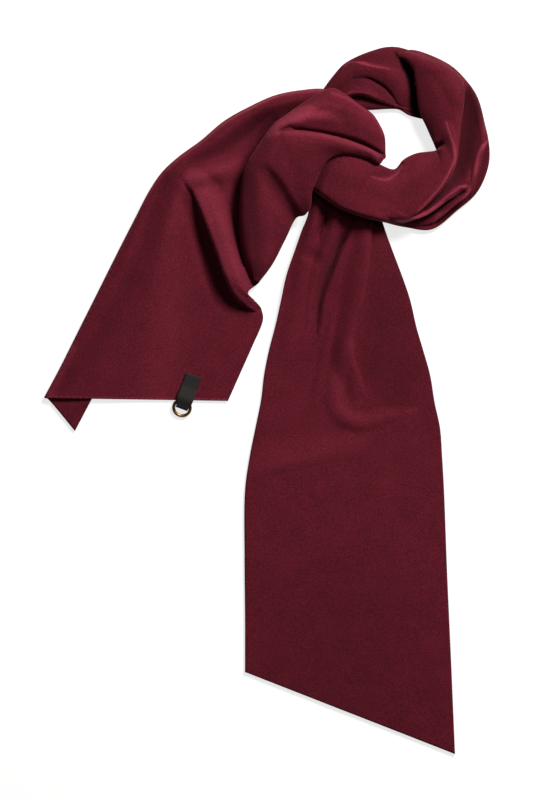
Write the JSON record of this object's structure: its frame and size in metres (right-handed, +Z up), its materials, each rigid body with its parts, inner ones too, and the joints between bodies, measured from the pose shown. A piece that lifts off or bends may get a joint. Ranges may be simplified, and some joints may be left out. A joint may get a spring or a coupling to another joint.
{
  "type": "fleece scarf",
  "caption": "Long fleece scarf with slanted ends, tied once in a half knot round a neck loop and laid flat, with a tape tab and a brass ring at one end.",
  "frame": {"origin": "on the ground, under the middle of the scarf's outline", "axes": "+Z up, off the ground the scarf lies on; +Y from the long tail's hem towards the neck loop; +X towards the side of the neck loop's open bend"},
  "size_m": [0.4452, 0.7072, 0.0489],
  "materials": {
    "fleece": "burgundy brushed polyester fleece, short soft nap on both faces, cut edges",
    "woven_tape": "charcoal woven tape, plain weave",
    "antique_brass": "antiqued brass wire, satin"
  },
  "bodies": {
    "scarf": {"front_tail": "fleece", "left_tail": "fleece", "turned_edge": "fleece", "wrap": "fleece", "neck_loop": "fleece", "neck_start": "fleece", "hidden_layers": "fleece", "tab_tape": "woven_tape"},
    "ring": {"ring": "antique_brass"}
  },
  "joints": [
    {"name": "ring_spin", "type": "hinge", "parent": "scarf", "child": "ring", "pos_m": [-0.084, -0.0078, 0.00416], "axis": [-0.1038, -0.2822, 0.9537], "continuous": true}
  ]
}
